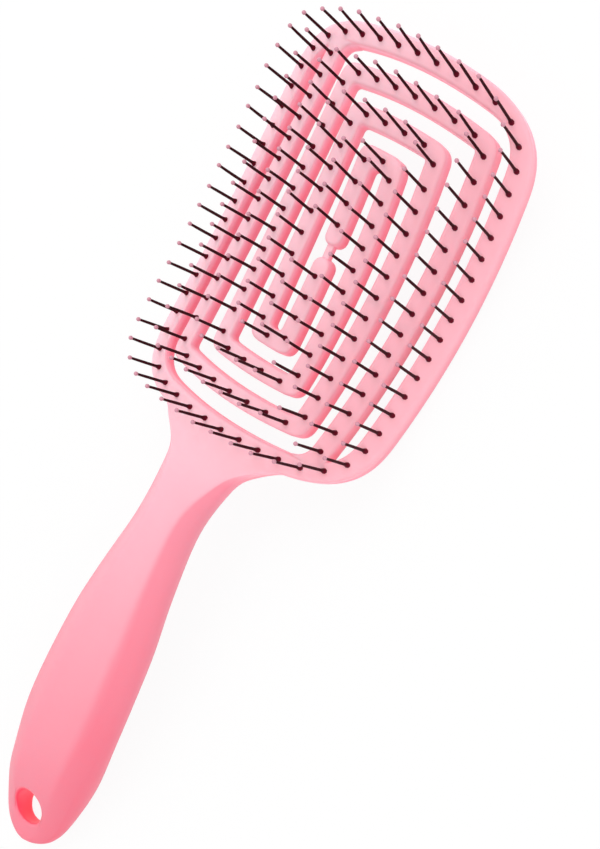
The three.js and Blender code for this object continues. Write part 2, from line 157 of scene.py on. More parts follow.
class Finish:
    def __init__(self, owner):
        self.owner = owner
        owner.use_nodes = True
        self.tree = owner.node_tree
        self.tree.nodes.clear()

    def node(self, kind, settings=None, inputs=None, output=0):
        made = self.tree.nodes.new(kind)
        for key, value in (settings or {}).items():
            setattr(made, key, value)
        for key, value in (inputs or {}).items():
            if isinstance(value, Socket):
                self.tree.links.new(value.socket, made.inputs[key])
            else:
                made.inputs[key].default_value = value
        return Socket(self, made.outputs[output])

    def place(self):
        return self.node("ShaderNodeTexCoord", output="Object")

    def axis(self, name):
        return self.node("ShaderNodeSeparateXYZ", {}, {0: self.place()}, output=name)

    def noise(self, per_metre, detail=2.0):
        inputs = {"Vector": self.place(), "Scale": per_metre, "Detail": detail}
        return self.node("ShaderNodeTexNoise", {}, inputs)

    def attribute(self, name):
        return self.node("ShaderNodeAttribute", {"attribute_name": name}, output="Fac")

    def clamp(self, value):
        return self.node("ShaderNodeClamp", {}, {"Value": value})

    def ramp(self, value, low, high):
        return self.clamp((value - low) * (1 / (high - low)))

    def mix(self, share, first, second):
        settings = {"data_type": "RGBA"}
        return self.node("ShaderNodeMix", settings, {0: share, 6: first, 7: second}, output=2)

    def bump(self, height, distance):
        inputs = {"Height": height, "Distance": distance, "Strength": 1.0}
        return self.node("ShaderNodeBump", {}, inputs)

    def surface(self, **inputs):
        named = {key.replace("_", " "): value for key, value in inputs.items()}
        shader = self.node("ShaderNodeBsdfPrincipled", {}, named)
        self.shown(shader)
        return self.owner

    def shown(self, shader, output="ShaderNodeOutputMaterial"):
        made = self.tree.nodes.new(output)
        self.tree.links.new(shader.socket, made.inputs["Surface"])


def new_finish(name):
    return Finish(bpy.data.materials.new(name))


print("shader helpers ready")

# %% [markdown]
# The studio is a pale floor under a white sky and two large soft lamps. The floor looks white because
# the rays that come straight from the camera, or by way of a reflection, see mostly a plain white there.
# The rest is an ordinary matt floor, which keeps the soft shadow of the brush. The sky does the same.

# %% Floor, sky and lamps
FLOOR_SIZE = 3.0
FLOOR_SINK = 0.0003
FLOOR_GREY = (0.86, 0.86, 0.86, 1)
WHITE = (1, 1, 1, 1)
SKY_LIGHT = 0.88
FLOOR_GLOW = 0.92


def seen_directly(finish):
    rays = finish.node("ShaderNodeLightPath", output="Is Camera Ray")
    for other in ("Is Glossy Ray", "Is Transmission Ray"):
        rays = rays + finish.node("ShaderNodeLightPath", output=other)
    return finish.clamp(rays)


bm = bmesh.new()
bmesh.ops.create_grid(bm, x_segments=4, y_segments=4, size=FLOOR_SIZE)
bmesh.ops.translate(bm, verts=bm.verts, vec=(0, 0, -FLOOR_SINK))
floor_mesh = bpy.data.meshes.new("floor")
bm.to_mesh(floor_mesh)
bm.free()
floor = bpy.data.objects.new("floor", floor_mesh)
bpy.context.scene.collection.objects.link(floor)

pale = new_finish("pale_floor")
matt = pale.node("ShaderNodeBsdfDiffuse", {}, {"Color": FLOOR_GREY})
white = pale.node("ShaderNodeEmission", {}, {"Color": WHITE, "Strength": 1.0})
shares = {0: seen_directly(pale) * FLOOR_GLOW, 1: matt, 2: white}
pale.shown(pale.node("ShaderNodeMixShader", {}, shares))
floor_mesh.materials.append(pale.owner)

sky = Finish(bpy.data.worlds.new("sky"))
bpy.context.scene.world = sky.owner
plain_sky = sky.node("ShaderNodeBackground", {}, {"Color": WHITE, "Strength": SKY_LIGHT})
white_sky = sky.node("ShaderNodeBackground", {}, {"Color": WHITE, "Strength": 1.0})
shares = {0: seen_directly(sky), 1: plain_sky, 2: white_sky}
sky.shown(sky.node("ShaderNodeMixShader", {}, shares), "ShaderNodeOutputWorld")


def add_lamp(name, place, size, watts):
    lamp = bpy.data.lights.new(name, "AREA")
    lamp.size = size
    lamp.energy = watts
    holder = bpy.data.objects.new(name, lamp)
    bpy.context.scene.collection.objects.link(holder)
    holder.location = place
    holder.rotation_euler = (-Vector(place)).to_track_quat("-Z", "Y").to_euler()


add_lamp("key_lamp", place=(-0.45, 0.75, 1.0), size=0.9, watts=6.4)
add_lamp("fill_lamp", place=(0.9, -0.3, 0.9), size=1.2, watts=2.4)
bpy.context.scene.view_settings.view_transform = "Standard"
print("studio ready")

# %% [markdown]
# The moulding is a satin pink plastic that lets a little light in. Its front and back are painted pale,
# and the walls of the slots and the flank of the handle a deeper pink, as painted shade where they turn
# from the light. So every pink mesh carries a number, front, that is 1 where the surface looks up, down or
# a little to the left, towards the key lamp, and 0 where it looks sideways. A second number, depth, is 0
# at the front of a rib and 1 at its back, and 1 all over the handle, and a slot's wall is painted deeper
# with it, as painted shade down in the slot. Near the tip of the head the walls are painted paler, as
# painted light. The head's face is painted palest on its left and deeper towards its right, as painted
# light and shade. The tail is painted deepest, as painted shade, and the wall of its hole is painted red,
# as painted shade in the hole. Towards the end of the tail the painted change from face to flank is
# softer. Some light comes through the thin ribs, and a faint painted glow stands for it: an emission on
# the face and walls of the head and on the wall of the hole, which lifts the painted shade there. Over
# that lie broad faint clouds of colour, and a very fine grain, as from a mould that was lightly blasted.
# A finish reads places in the frame, in metres.

# %% Pink moulding
# Painted light and shade: the head's face is painted palest on its left and deeper towards its right, where
# the arch turns from the lamp.
HEAD_LIT_LEFT = (0.980, 0.572, 0.645, 1)
HEAD_SHADED_RIGHT = (0.985, 0.451, 0.522, 1)
NECK_PINK = (0.875, 0.445, 0.525, 1)
# Painted shade: the slot walls and the flank of the handle are painted a deeper pink where they turn from
# the light.
SLOT_SHADED_PINK = (0.945, 0.270, 0.355, 1)
NECK_SHADED_FLANK = (0.880, 0.265, 0.348, 1)
# Painted shade: the tail is painted deeper towards its end, where it turns away from the lamp.
TAIL_SHADED_PINK = (0.880, 0.212, 0.288, 1)
TAIL_SHADED_FLANK = (0.885, 0.140, 0.214, 1)
# Painted shade: the wall of the hanging hole is painted a deep red.
HOLE_SHADED_RED = (0.960, 0.060, 0.110, 1)
NO_GLOW = (0.0, 0.0, 0.0, 1)
# Painted glow: emission colours that brighten the head's face, its rims and slot walls, and the hole's
# wall; they stand for light coming through the plastic.
FACE_PAINTED_GLOW = (0.055, 0.033, 0.038, 1)
RIM_PAINTED_GLOW = (0.140, 0.105, 0.140, 1)
SLOT_PAINTED_GLOW = (0.165, 0.010, 0.032, 1)
HOLE_PAINTED_GLOW = (0.450, 0.015, 0.035, 1)
CLOUD_PINK = (0.900, 0.380, 0.465, 1)
CLOUDS_PER_METRE = 55
CLOUD_DETAIL = 3.0
CLOUD_SHARE = 0.12
CLOUD_DULLING = 0.10
GRAIN_PER_METRE = 5200
GRAIN_DETAIL = 1.0
GRAIN_DULLING = 0.08
GRAIN_DEPTH = 0.000012
PINK_GLOSS = 0.35
GLOW_SHARE = 0.35
GLOW_REACH = (1.0, 0.28, 0.34)
GLOW_SCALE = 0.003
FACE, FLANK, SOFT_FLANK = 0.96, 0.70, 0.35
WALL_FROM, WALL_TO = 0.60, 0.40
# Painted shade deepens down the slot walls over this range of depth.
RECESS_SHADE_FROM, RECESS_SHADE_TO = -0.08, 0.62
# Painted light and shade across the head: pale at LEFT_AT, deeper at RIGHT_AT.
LEFT_AT, RIGHT_AT = -0.012, 0.026
HEAD_FROM, HEAD_TO = -0.012, 0.014
# Painted light: the slot walls are painted paler towards the tip of the head.
TIP_FROM, TIP_TO, TIP_WALL_LIGHT = 0.070, 0.115, 0.30
# Painted shade deepens towards the tail over this range; over the next the painted edge between face and
# flank softens.
TAIL_FROM, TAIL_TO = -0.015, -0.122
SOFT_FROM, SOFT_TO = -0.085, -0.105
HOLE_PLACE = (0, -0.11075, 0)
HOLE_FROM, HOLE_TO = 0.0066, 0.0056


def pink_plastic(name, roughness):
    finish = new_finish(name)
    along = finish.axis("Y")
    head = finish.ramp(along, HEAD_FROM, HEAD_TO)
    tip_light = finish.ramp(along, TIP_FROM, TIP_TO)
    # Painted shade: deeper towards the tail's end.
    tail_shade = finish.ramp(along, TAIL_FROM, TAIL_TO)
    tail_end = finish.ramp(along, SOFT_FROM, SOFT_TO)
    right_shade = finish.ramp(finish.axis("X"), LEFT_AT, RIGHT_AT)
    flatten = {0: finish.place(), 1: (1, 1, 0)}
    spot = finish.node("ShaderNodeVectorMath", {"operation": "MULTIPLY"}, flatten)
    measure = {0: spot, 1: HOLE_PLACE}
    apart = finish.node("ShaderNodeVectorMath", {"operation": "DISTANCE"}, measure, output="Value")
    hole = finish.ramp(apart, HOLE_FROM, HOLE_TO)

    # front and depth place the painted shade: surfaces turned sideways are painted a deeper pink, more
    # softly at the tail's end.
    facing = finish.attribute("front")
    crisp = finish.ramp(facing, FLANK, FACE)
    soft = finish.ramp(facing, SOFT_FLANK, FACE)
    front = crisp + (soft - crisp) * tail_end
    wall = finish.ramp(facing, WALL_FROM, WALL_TO)
    # Painted shade deepens down the slot walls; painted light makes the walls paler towards the tip.
    recess_shade = finish.ramp(finish.attribute("depth"), RECESS_SHADE_FROM, RECESS_SHADE_TO) * (1 - tip_light * TIP_WALL_LIGHT)
    clouds = finish.noise(CLOUDS_PER_METRE, CLOUD_DETAIL)
    grain = finish.noise(GRAIN_PER_METRE, GRAIN_DETAIL)

    # The head's face is painted lighter on its left and deeper on its right: painted light and shade.
    head_pink_shaded = finish.mix(right_shade, HEAD_LIT_LEFT, HEAD_SHADED_RIGHT)
    looking_up = finish.mix(head, finish.mix(tail_shade, NECK_PINK, TAIL_SHADED_PINK), head_pink_shaded)
    flank_shade = finish.mix(head, finish.mix(tail_shade, NECK_SHADED_FLANK, TAIL_SHADED_FLANK), SLOT_SHADED_PINK)
    turned_away_shade = finish.mix(wall * hole, flank_shade, HOLE_SHADED_RED)
    pink_with_shade = finish.mix((1 - front) * recess_shade, looking_up, turned_away_shade)
    # Painted glow: an emission on the head and on the wall of the hole.
    painted_face_glow = finish.mix(head, NO_GLOW, FACE_PAINTED_GLOW)
    painted_slot_glow = finish.mix(head, NO_GLOW, finish.mix(recess_shade, RIM_PAINTED_GLOW, SLOT_PAINTED_GLOW))
    painted_wall_glow = finish.mix(hole, painted_slot_glow, HOLE_PAINTED_GLOW)
    return finish.surface(
        Base_Color=finish.mix(clouds * CLOUD_SHARE, pink_with_shade, CLOUD_PINK),
        Roughness=roughness + (clouds - 0.5) * CLOUD_DULLING + (grain - 0.5) * GRAIN_DULLING,
        Normal=finish.bump(grain, GRAIN_DEPTH),
        Specular_IOR_Level=PINK_GLOSS,
        Subsurface_Weight=GLOW_SHARE,
        Subsurface_Radius=GLOW_REACH,
        Subsurface_Scale=GLOW_SCALE,
        Emission_Color=finish.mix(wall, painted_face_glow, painted_wall_glow),
        Emission_Strength=1.0,
    )


moulding_pink = pink_plastic("satin_pink_moulding", roughness=0.42)
print("made", moulding_pink.name)

# %% [markdown]
# The pins are a wine-tinted black nylon, dull, with fine scuffs. Each stands on a short cone whose foot is
# painted a dark wine red, as painted light of the pink that shines through, and ends in a small ball of
# dusty pink. The pins carry a number, rise, that is 0 at the foot and 1 at the ball.

# %% Pins and ball tips
NYLON = (0.036, 0.001, 0.004, 1)
# Painted light: the foot of each pin is painted wine red for the pink that shines through.
FOOT_PINK_SHINE = (0.150, 0.004, 0.018, 1)
DUSTY_PINK = (0.640, 0.300, 0.375, 1)
DUSTY_SHADE = (0.560, 0.235, 0.305, 1)
FOOT_SHARE = 1 / 7
SCUFFS_PER_METRE = 900
MOTTLE_PER_METRE = 700
SCUFF_DEPTH = 0.00002
NYLON_ROUGHNESS, SCUFF_DULLING = 0.42, 0.20
TIP_ROUGHNESS, MOTTLE_DULLING = 0.34, 0.12
NYLON_GLOSS = 0.04

pin_nylon = new_finish("black_pin_nylon")
foot = pin_nylon.ramp(pin_nylon.attribute("rise"), FOOT_SHARE, 0.0)
scuffs = pin_nylon.noise(SCUFFS_PER_METRE)
pin_black = pin_nylon.surface(
    Base_Color=pin_nylon.mix(foot, NYLON, FOOT_PINK_SHINE),
    Roughness=NYLON_ROUGHNESS + scuffs * SCUFF_DULLING,
    Normal=pin_nylon.bump(scuffs, SCUFF_DEPTH),
    Specular_IOR_Level=NYLON_GLOSS,
)

tip_dip = new_finish("dusty_pink_tip")
mottle = tip_dip.noise(MOTTLE_PER_METRE)
tip_pink = tip_dip.surface(
    Base_Color=tip_dip.mix(mottle, DUSTY_PINK, DUSTY_SHADE),
    Roughness=TIP_ROUGHNESS + mottle * MOTTLE_DULLING,
    Normal=tip_dip.bump(mottle, SCUFF_DEPTH),
)
print("made", pin_black.name, "and", tip_pink.name)

# %% [markdown]
# The ribs follow the lines of a bent grid. A column runs along the head and bows outwards a little, the
# inner ones lean, and a row runs across and bows towards its end. A rib's line goes from one grid line to
# the next with a rounded corner between them, drawn as a quadratic curve.

# %% Lines of the plan
COLUMN_SIX = 9.3
COLUMN_SEVEN = 18.2
COLUMN_EIGHT = 28.2
ROW_FOUR = 27.3
ROW_THREE = 36.2
ROW_TWO = 45.3
ROW_ONE = 55.0
SIDE_BOW_RADIUS = 476.0
END_BOW_RADIUS = 144.0
MIDDLE_LEAN = 0.077
INNER_LEAN = 0.068
VENT_LEAN = 0.035
CROSSING_ROUNDS = 6


def column(x, lean=0.0):
    bow = math.copysign(1, x) / (2 * SIDE_BOW_RADIUS) if x else 0
    return {"upright": True, "at": lambda y: Vector((x - lean * y - bow * y * y, y, 0))}


def row(y):
    bow = math.copysign(1, y) / (2 * END_BOW_RADIUS)
    return {"upright": False, "at": lambda x: Vector((x, y - bow * x * x, 0))}


def crossing(first, second):
    upright, flat = (first, second) if first["upright"] else (second, first)
    point = upright["at"](0)
    for _ in range(CROSSING_ROUNDS):
        point = upright["at"](flat["at"](point.x).y)
    return point


def place_on(line, point):
    return point.y if line["upright"] else point.x


ring_corner = crossing(column(OUTER_COLUMN), row(ROW_ONE))
print("corner of the outer ring at", [round(c, 1) for c in ring_corner])

# %% [markdown]
# A rib lies between two edge lines, one on its left and one on its right as one walks along it. Each edge
# is a line of the grid pushed sideways, and it has its own rounding, which is wider on the outside of
# a corner than on the inside. Both edges get equally many points, so that a station of the rib is one
# point of each.

# %% Tracks with two edges
STATION_STEP = 3.0
CORNER_STEPS = 8


def beside(line, offset):
    shift = Vector((offset, 0, 0)) if line["upright"] else Vector((0, offset, 0))
    return {"upright": line["upright"], "at": lambda place: line["at"](place) + shift}


def rounded(before, corner, after):
    points = []
    for i in range(1, CORNER_STEPS):
        t = i / CORNER_STEPS
        points.append(before * (1 - t) ** 2 + corner * (2 * t * (1 - t)) + after * t * t)
    return points


class Track:
    def __init__(self, lines, outside, inside, start=None, stop=None, lead=(0.0,)):
        self.lines, self.outside, self.inside = lines, outside, inside
        self.start, self.stop, self.closed = start, stop, start is None
        self.senses = [1] * len(lines)
        self.senses = [math.copysign(1, end - begin) for begin, end in self.spans(lines, lambda i: 0)]
        self.turns_left = []
        for i, line in enumerate(lines):
            product = self.senses[i] * self.senses[(i + 1) % len(lines)]
            self.turns_left.append(product < 0 if line["upright"] else product > 0)
        middle = self.spans(lines, lambda i: (outside + inside) / 2)
        self.shares = []
        for i, (begin, end) in enumerate(middle):
            length = abs(end - begin)
            first = [place / length for place in (lead if i == 0 else (0.0,))]
            steps = max(1, math.ceil((1 - first[-1]) * length / STATION_STEP))
            rest = [first[-1] + (1 - first[-1]) * k / steps for k in range(1, steps + 1)]
            self.shares.append(first + rest)

    def spans(self, lines, setback):
        count = len(lines)
        made = []
        for i, line in enumerate(lines):
            begin, end = self.start, self.stop
            if self.closed or i > 0:
                begin = place_on(line, crossing(lines[i - 1], line)) + self.senses[i] * setback(i - 1)
            if self.closed or i < count - 1:
                end = place_on(line, crossing(line, lines[(i + 1) % count])) - self.senses[i] * setback(i)
            made.append((begin, end))
        return made

    def edge(self, offset):
        def setback(i):
            inwards = offset if self.turns_left[i] else -offset
            return (self.inside if inwards > 0 else self.outside) - inwards

        lines = []
        for line, sense in zip(self.lines, self.senses):
            lines.append(beside(line, -sense * offset if line["upright"] else sense * offset))
        spans = self.spans(lines, setback)
        points = []
        for i, line in enumerate(lines):
            begin, end = spans[i]
            points += [line["at"](begin + (end - begin) * share) for share in self.shares[i]]
            if self.closed or i < len(lines) - 1:
                after = (i + 1) % len(lines)
                landing = lines[after]["at"](spans[after][0])
                points += rounded(line["at"](end), crossing(line, lines[after]), landing)
        return points


print("stations lie at most", STATION_STEP, "mm apart, and a corner has", CORNER_STEPS, "steps")

# %% [markdown]
# A rib is an extrusion: one section, drawn looking along the rib, is extruded from station to station.
# Each station has a matrix that stretches the section from the right edge to the left edge. After the
# sweep the flat plan is laid over the curved face.

# %% Sections and sweeps
MERGE_DISTANCE = 0.002


def merge_doubles(bm):
    bmesh.ops.remove_doubles(bm, verts=bm.verts, dist=MERGE_DISTANCE)


def of_kind(geometry, kind):
    return [g for g in geometry if isinstance(g, kind)]


def station_matrices(lefts, rights, left, right):
    matrices = []
    for on_left, on_right in zip(lefts, rights):
        side = (on_left - on_right) / (left + right)
        along = Vector((side.y, -side.x, 0)).normalized()
        turn = Matrix((side, along, Vector((0, 0, 1)))).transposed().to_4x4()
        matrices.append(Matrix.Translation(on_right + side * right) @ turn)
    return matrices


def sweep(bm, edges, matrices, station_layer=None):
    for number, (here, there) in enumerate(zip(matrices, matrices[1:])):
        made = bmesh.ops.extrude_edge_only(bm, edges=edges)["geom"]
        verts = of_kind(made, bmesh.types.BMVert)
        edges = [e for e in of_kind(made, bmesh.types.BMEdge) if e.is_boundary]
        bmesh.ops.transform(bm, matrix=there @ here.inverted(), verts=verts)
        if station_layer:
            for vert in verts:
                vert[station_layer] = number + 1
    return edges


def lay_on_face(bm):
    for vert in bm.verts:
        vert.co.z += face_height(vert.co.x, vert.co.y)


print("points closer than", MERGE_DISTANCE, "mm are merged")

# %% [markdown]
# The section of a rib is a flat bar with well rounded front edges, slightly rounded back edges, and a
# groove in the back where a cover strip lies. It starts as one face with ten corners, whose outer corners
# are bevelled.

# %% Section of a rib
RIB_HALF = 2.6
RIB_DEPTH = 5.5
FRONT_ROUND = 1.0
BACK_ROUND = 0.4
GROOVE_FLOOR = -3.75
SIDE_WALL = 1.0


def round_off(bm, geometry, radius, segments, affect="VERTICES"):
    bmesh.ops.bevel(
        bm, geom=geometry, offset=radius, offset_type="OFFSET", segments=segments,
        profile=0.5, affect=affect, material=-1,
    )


def section_corners(bm, outline):
    corners = [bm.verts.new((side, 0, height)) for side, height in outline]
    bm.faces.new(corners)
    return corners


def section_edges(bm):
    bmesh.ops.delete(bm, geom=bm.faces[:], context="FACES_ONLY")
    return bm.edges[:]


def rib_section(bm, inside, outside, groove):
    outline = [
        (0, 0), (inside, 0), (inside, -RIB_DEPTH), (groove, -RIB_DEPTH), (groove, GROOVE_FLOOR),
        (0, GROOVE_FLOOR), (-groove, GROOVE_FLOOR), (-groove, -RIB_DEPTH), (-outside, -RIB_DEPTH),
        (-outside, 0),
    ]
    corners = section_corners(bm, outline)
    round_off(bm, [corners[1], corners[9]], FRONT_ROUND, segments=4)
    round_off(bm, [corners[2], corners[8]], BACK_ROUND, segments=2)
    return section_edges(bm)


print("a rib is", 2 * RIB_HALF, "mm wide and", RIB_DEPTH, "mm deep")

# %% [markdown]
# Every finished mesh goes the same way into the scene: doubles merged, normals turned outwards, the front
# and depth numbers that place the painted shade written, sharp edges marked, and the whole moved from
# millimetres into the frame. The caps that close a cut rib have many corners, and they are left out of the
# front number. On the head it forgives a lean to either side, so that the rounded edges stay painted pale,
# and on the handle only a lean to the left, towards the lamp, so that its right flank is painted in shade.

# %% From bmesh to piece
SHARP_ANGLE = math.radians(48)
HEAD_EDGE_Y, HANDLE_Y = -58.0, -72.0
LIGHT_LEAN = Vector((-0.25, 0, 0))
MOST_CORNERS = 4


def side_normal(vert):
    sides = [f for f in vert.link_faces if len(f.verts) <= MOST_CORNERS]
    return sum((f.normal * f.calc_area() for f in sides), Vector()).normalized()


def mark_front(bm):
    bm.normal_update()
    # front and depth are the masks of the painted shade in the pink finish.
    front = bm.verts.layers.float.new("front")
    depth = bm.verts.layers.float.new("depth")
    for vert in bm.verts:
        share = max(0.0, min(1.0, (vert.co.y - HANDLE_Y) / (HEAD_EDGE_Y - HANDLE_Y)))
        upright = Vector((0, 0, 1)).lerp(face_normal(vert.co.x, vert.co.y), share).normalized()
        normal = side_normal(vert)
        to_left = normal.dot((upright + LIGHT_LEAN).normalized())
        to_right = normal.dot((upright - LIGHT_LEAN).normalized())
        vert[front] = max(to_left, to_right * share, -normal.z, 0.0)
        below_face = (face_height(vert.co.x, vert.co.y) - vert.co.z) / RIB_DEPTH
        vert[depth] = 1 + (below_face - 1) * share


def make_piece(name, bm, material):
    merge_doubles(bm)
    bmesh.ops.recalc_face_normals(bm, faces=bm.faces)
    mark_front(bm)
    for face in bm.faces:
        face.smooth = True
    for edge in bm.edges:
        edge.smooth = edge.calc_face_angle(0.0) < SHARP_ANGLE
    bmesh.ops.transform(bm, matrix=TO_FRAME, verts=bm.verts)
    mesh = bpy.data.meshes.new(name)
    bm.to_mesh(mesh)
    faces = len(bm.faces)
    bm.free()
    mesh.materials.append(material)
    piece = bpy.data.objects.new(name, mesh)
    bpy.context.scene.collection.objects.link(piece)
    print("made", name, "with", faces, "faces")
    return piece


print("edges sharper than", round(math.degrees(SHARP_ANGLE)), "degrees are kept sharp")

# %% [markdown]
# ## The ring and the handle
# These are one moulding, so they are one mesh. The ring comes first, as a closed sweep. The points down
# its outer wall are numbered from the front to the back, and every station is numbered too, because the
# handle grows out of that wall and has to know which point is which.

# %% The ring
RING_INSIDE = 2.7
RING_OUTSIDE = 3.3
RING_CORNER = 11.5
RING_GROOVE = RING_INSIDE - SIDE_WALL
PAST_GROOVE = 0.3

ring_lines = [column(OUTER_COLUMN), row(ROW_ONE), column(-OUTER_COLUMN), row(-ROW_ONE)]
ring_track = Track(ring_lines, RING_CORNER, RING_CORNER)
ring_matrices = station_matrices(
    ring_track.edge(RING_INSIDE), ring_track.edge(-RING_OUTSIDE), RING_INSIDE, RING_OUTSIDE,
)
ring_points = [matrix.translation for matrix in ring_matrices]

body = bmesh.new()
spot_layer = body.verts.layers.int.new("spot")
station_layer = body.verts.layers.int.new("station")
along_layer = body.verts.layers.float.new("along")
ring_edges = rib_section(body, RING_INSIDE, RING_OUTSIDE, RING_GROOVE)
outer_wall = [v for v in body.verts if v.co.x < -RING_GROOVE - PAST_GROOVE]
outer_wall.sort(key=lambda v: -v.co.z)
ROOT_LEVELS = [1 + v.co.z / RIB_DEPTH for v in outer_wall]
for number, vert in enumerate(outer_wall):
    vert[spot_layer] = number + 1
FRONT_SPOT = 1
BACK_SPOT = len(outer_wall)
bmesh.ops.transform(body, matrix=ring_matrices[0], verts=body.verts)
sweep(body, ring_edges, [*ring_matrices, ring_matrices[0]], station_layer)
merge_doubles(body)
lay_on_face(body)
print("ring of", len(ring_points), "stations,", BACK_SPOT, "points down its outer wall")

# %% [markdown]
# The handle swells and thins along its length. Its stations give the half width and the heights of the
# front and the back, and a smooth curve that never overshoots runs through them.

# %% Stations of the handle
ROOT_AT = 57.1
NECK_AT = 82.0
HANDLE_STATIONS = [
    (ROOT_AT, 22.0, face_height(0, -ROOT_AT), face_height(0, -ROOT_AT) - RIB_DEPTH),
    (60.6, 15.8, 21.6, 15.5),
    (66.5, 10.7, 23.0, 15.8),
    (NECK_AT, 9.3, 26.8, 15.3),
    (101.0, 11.5, 27.0, 14.3),
    (120.0, 14.1, 25.4, 11.3),
    (146.0, 15.2, 21.4, 6.8),
    (166.0, 13.6, 16.8, 0.0),
    (179.0, 10.6, 9.3, 0.0),
    (183.7, 8.0, 6.8, 1.2),
    (186.8, 3.4, 5.6, 2.6),
    (187.4, 0.6, 4.9, 3.5),
]
AT, HALF_WIDTH, FRONT, BACK = range(4)


def handle_size(key, at):
    rows = HANDLE_STATIONS
    i = 0
    while i < len(rows) - 2 and rows[i + 1][AT] < at:
        i += 1

    def slope(k):
        return (rows[k + 1][key] - rows[k][key]) / (rows[k + 1][AT] - rows[k][AT])

    def slope_at(k):
        if k in (0, len(rows) - 1):
            return slope(min(k, len(rows) - 2))
        before, after = slope(k - 1), slope(k)
        return 2 * before * after / (before + after) if before * after > 0 else 0

    span = rows[i + 1][AT] - rows[i][AT]
    t = (at - rows[i][AT]) / span
    low, high = rows[i][key], rows[i + 1][key]
    curve = span * t * (1 - t) * (slope_at(i) * (1 - t) - slope_at(i + 1) * t)
    return low * (1 + 2 * t) * (1 - t) ** 2 + high * t * t * (3 - 2 * t) + curve


print("the neck is", round(2 * handle_size(HALF_WIDTH, NECK_AT), 1), "mm wide")

# %% [markdown]
# Across, the handle has a flat front, a soft crease, a sloping flank and a flat back. The outline is given
# as shares of the half width and of the height. At the root it is the section of the ring's wall, and over
# the neck it settles into the outline of the handle.

# %% Section of the handle
HANDLE_OUTLINE = [
    (0.500, 0.985), (0.575, 0.955), (0.700, 0.885), (0.860, 0.770),
    (1.000, 0.600), (0.985, 0.320), (0.860, 0.100), (0.550, 0.000),
]
FRONT_CROWN = 0.03


def settle(at):
    t = max(0.0, min(1.0, (at - ROOT_AT) / (NECK_AT - ROOT_AT)))
    return t * t * (3 - 2 * t)


def handle_point(at, across, spot):
    share = settle(at)
    reach, height = HANDLE_OUTLINE[spot - 1]
    x = across * handle_size(HALF_WIDTH, at) * (1 + (reach - 1) * share)
    height = ROOT_LEVELS[spot - 1] + (height - ROOT_LEVELS[spot - 1]) * share
    if spot == FRONT_SPOT:
        height += FRONT_CROWN * (1 - across * across) * share
    rim = max(0.0, 1 - (at - ROOT_AT) / (NECK_AT - ROOT_AT))
    front, rear = handle_size(FRONT, at), handle_size(BACK, at)
    z = rear + (front - rear) * height - rim * x * x / (2 * ARCH_RADIUS)
    return Vector((x, rim * x * x / (2 * END_BOW_RADIUS) - at, z))


print("the outline of the handle has", len(HANDLE_OUTLINE), "points on each side")

# %% [markdown]
# The handle could be a loft of its own that a boolean joins to the ring, but the joint would show. So it
# is pulled out of the ring, as one would do by hand: the faces of the outer wall at the neck are extruded
# once for each place along the handle, and each fresh corner is put on the section there. This leaves no
# seam. The places lie closer where the shape turns fast.

# %% The handle, pulled out of the ring
NECK_REACH = 22.6
COVER_START, COVER_END, COVER_MARGIN = 92.0, 158.0, 1.2
HOLE_AT, HOLE_LENGTH, HOLE_WIDTH = 175.8, 9.4, 9.0
handle_places = [59.6, 61, 63, 65, 67.5, 70.5, 74, 78, NECK_AT, 86.5, COVER_START - COVER_MARGIN]
handle_places += [*range(96, 152, 5), 155.5]
handle_places += [COVER_END + COVER_MARGIN, 163, 166.5, 169.3]
handle_places += [HOLE_AT + HOLE_LENGTH * share for share in (-0.5, -0.25, 0, 0.25, 0.5)]
handle_places += [182.0, 183.3, 184.4, 185.3, 186.0, 186.5, 186.9, 187.2, 187.4]

neck_stations = {}
for number, point in enumerate(ring_points):
    if point.y < -ROW_TWO and abs(point.x) < NECK_REACH:
        neck_stations[number] = point.x
widest = max(neck_stations.values())
across_at = {number: x / widest for number, x in neck_stations.items()}
region = [
    f for f in body.faces
    if all(v[spot_layer] and v[station_layer] in across_at for v in f.verts)
]


def pull(bm, faces):
    edges = {e for f in faces for e in f.edges}
    verts = {v for f in faces for v in f.verts}
    made = bmesh.ops.extrude_face_region(bm, geom=[*faces, *edges, *verts])["geom"]
    left_behind = [f for f in faces if f.is_valid]
    if left_behind:
        bmesh.ops.delete(bm, geom=left_behind, context="FACES")
    return of_kind(made, bmesh.types.BMFace), of_kind(made, bmesh.types.BMVert)


for at in handle_places:
    region, fresh = pull(body, region)
    for vert in fresh:
        vert[along_layer] = at
        vert.co = handle_point(at, across_at[vert[station_layer]], vert[spot_layer])
print("handle of", len(handle_places), "stations,", len(across_at) - 1, "faces wide")

# %% [markdown]
# The hanging hole near the tail is cut in the same mesh: the faces over it are deleted on the front and on
# the back, the two rims are eased onto an oval, a wall bridges one rim to the other, and the rims are
# bevelled into a soft lip.

# %% Hanging hole
HOLE_SHARE = 0.78
LIP_ROUND = 1.2
FRONT_EASE, BACK_EASE = 0.4, 1.0
SLACK = 0.01


def strip_faces(spot, low, high, reach=1.0):
    def inside(vert):
        if vert[spot_layer] != spot or not low - SLACK < vert[along_layer] < high + SLACK:
            return False
        return abs(across_at[vert[station_layer]]) < reach + SLACK

    return [f for f in body.faces if all(inside(v) for v in f.verts)]


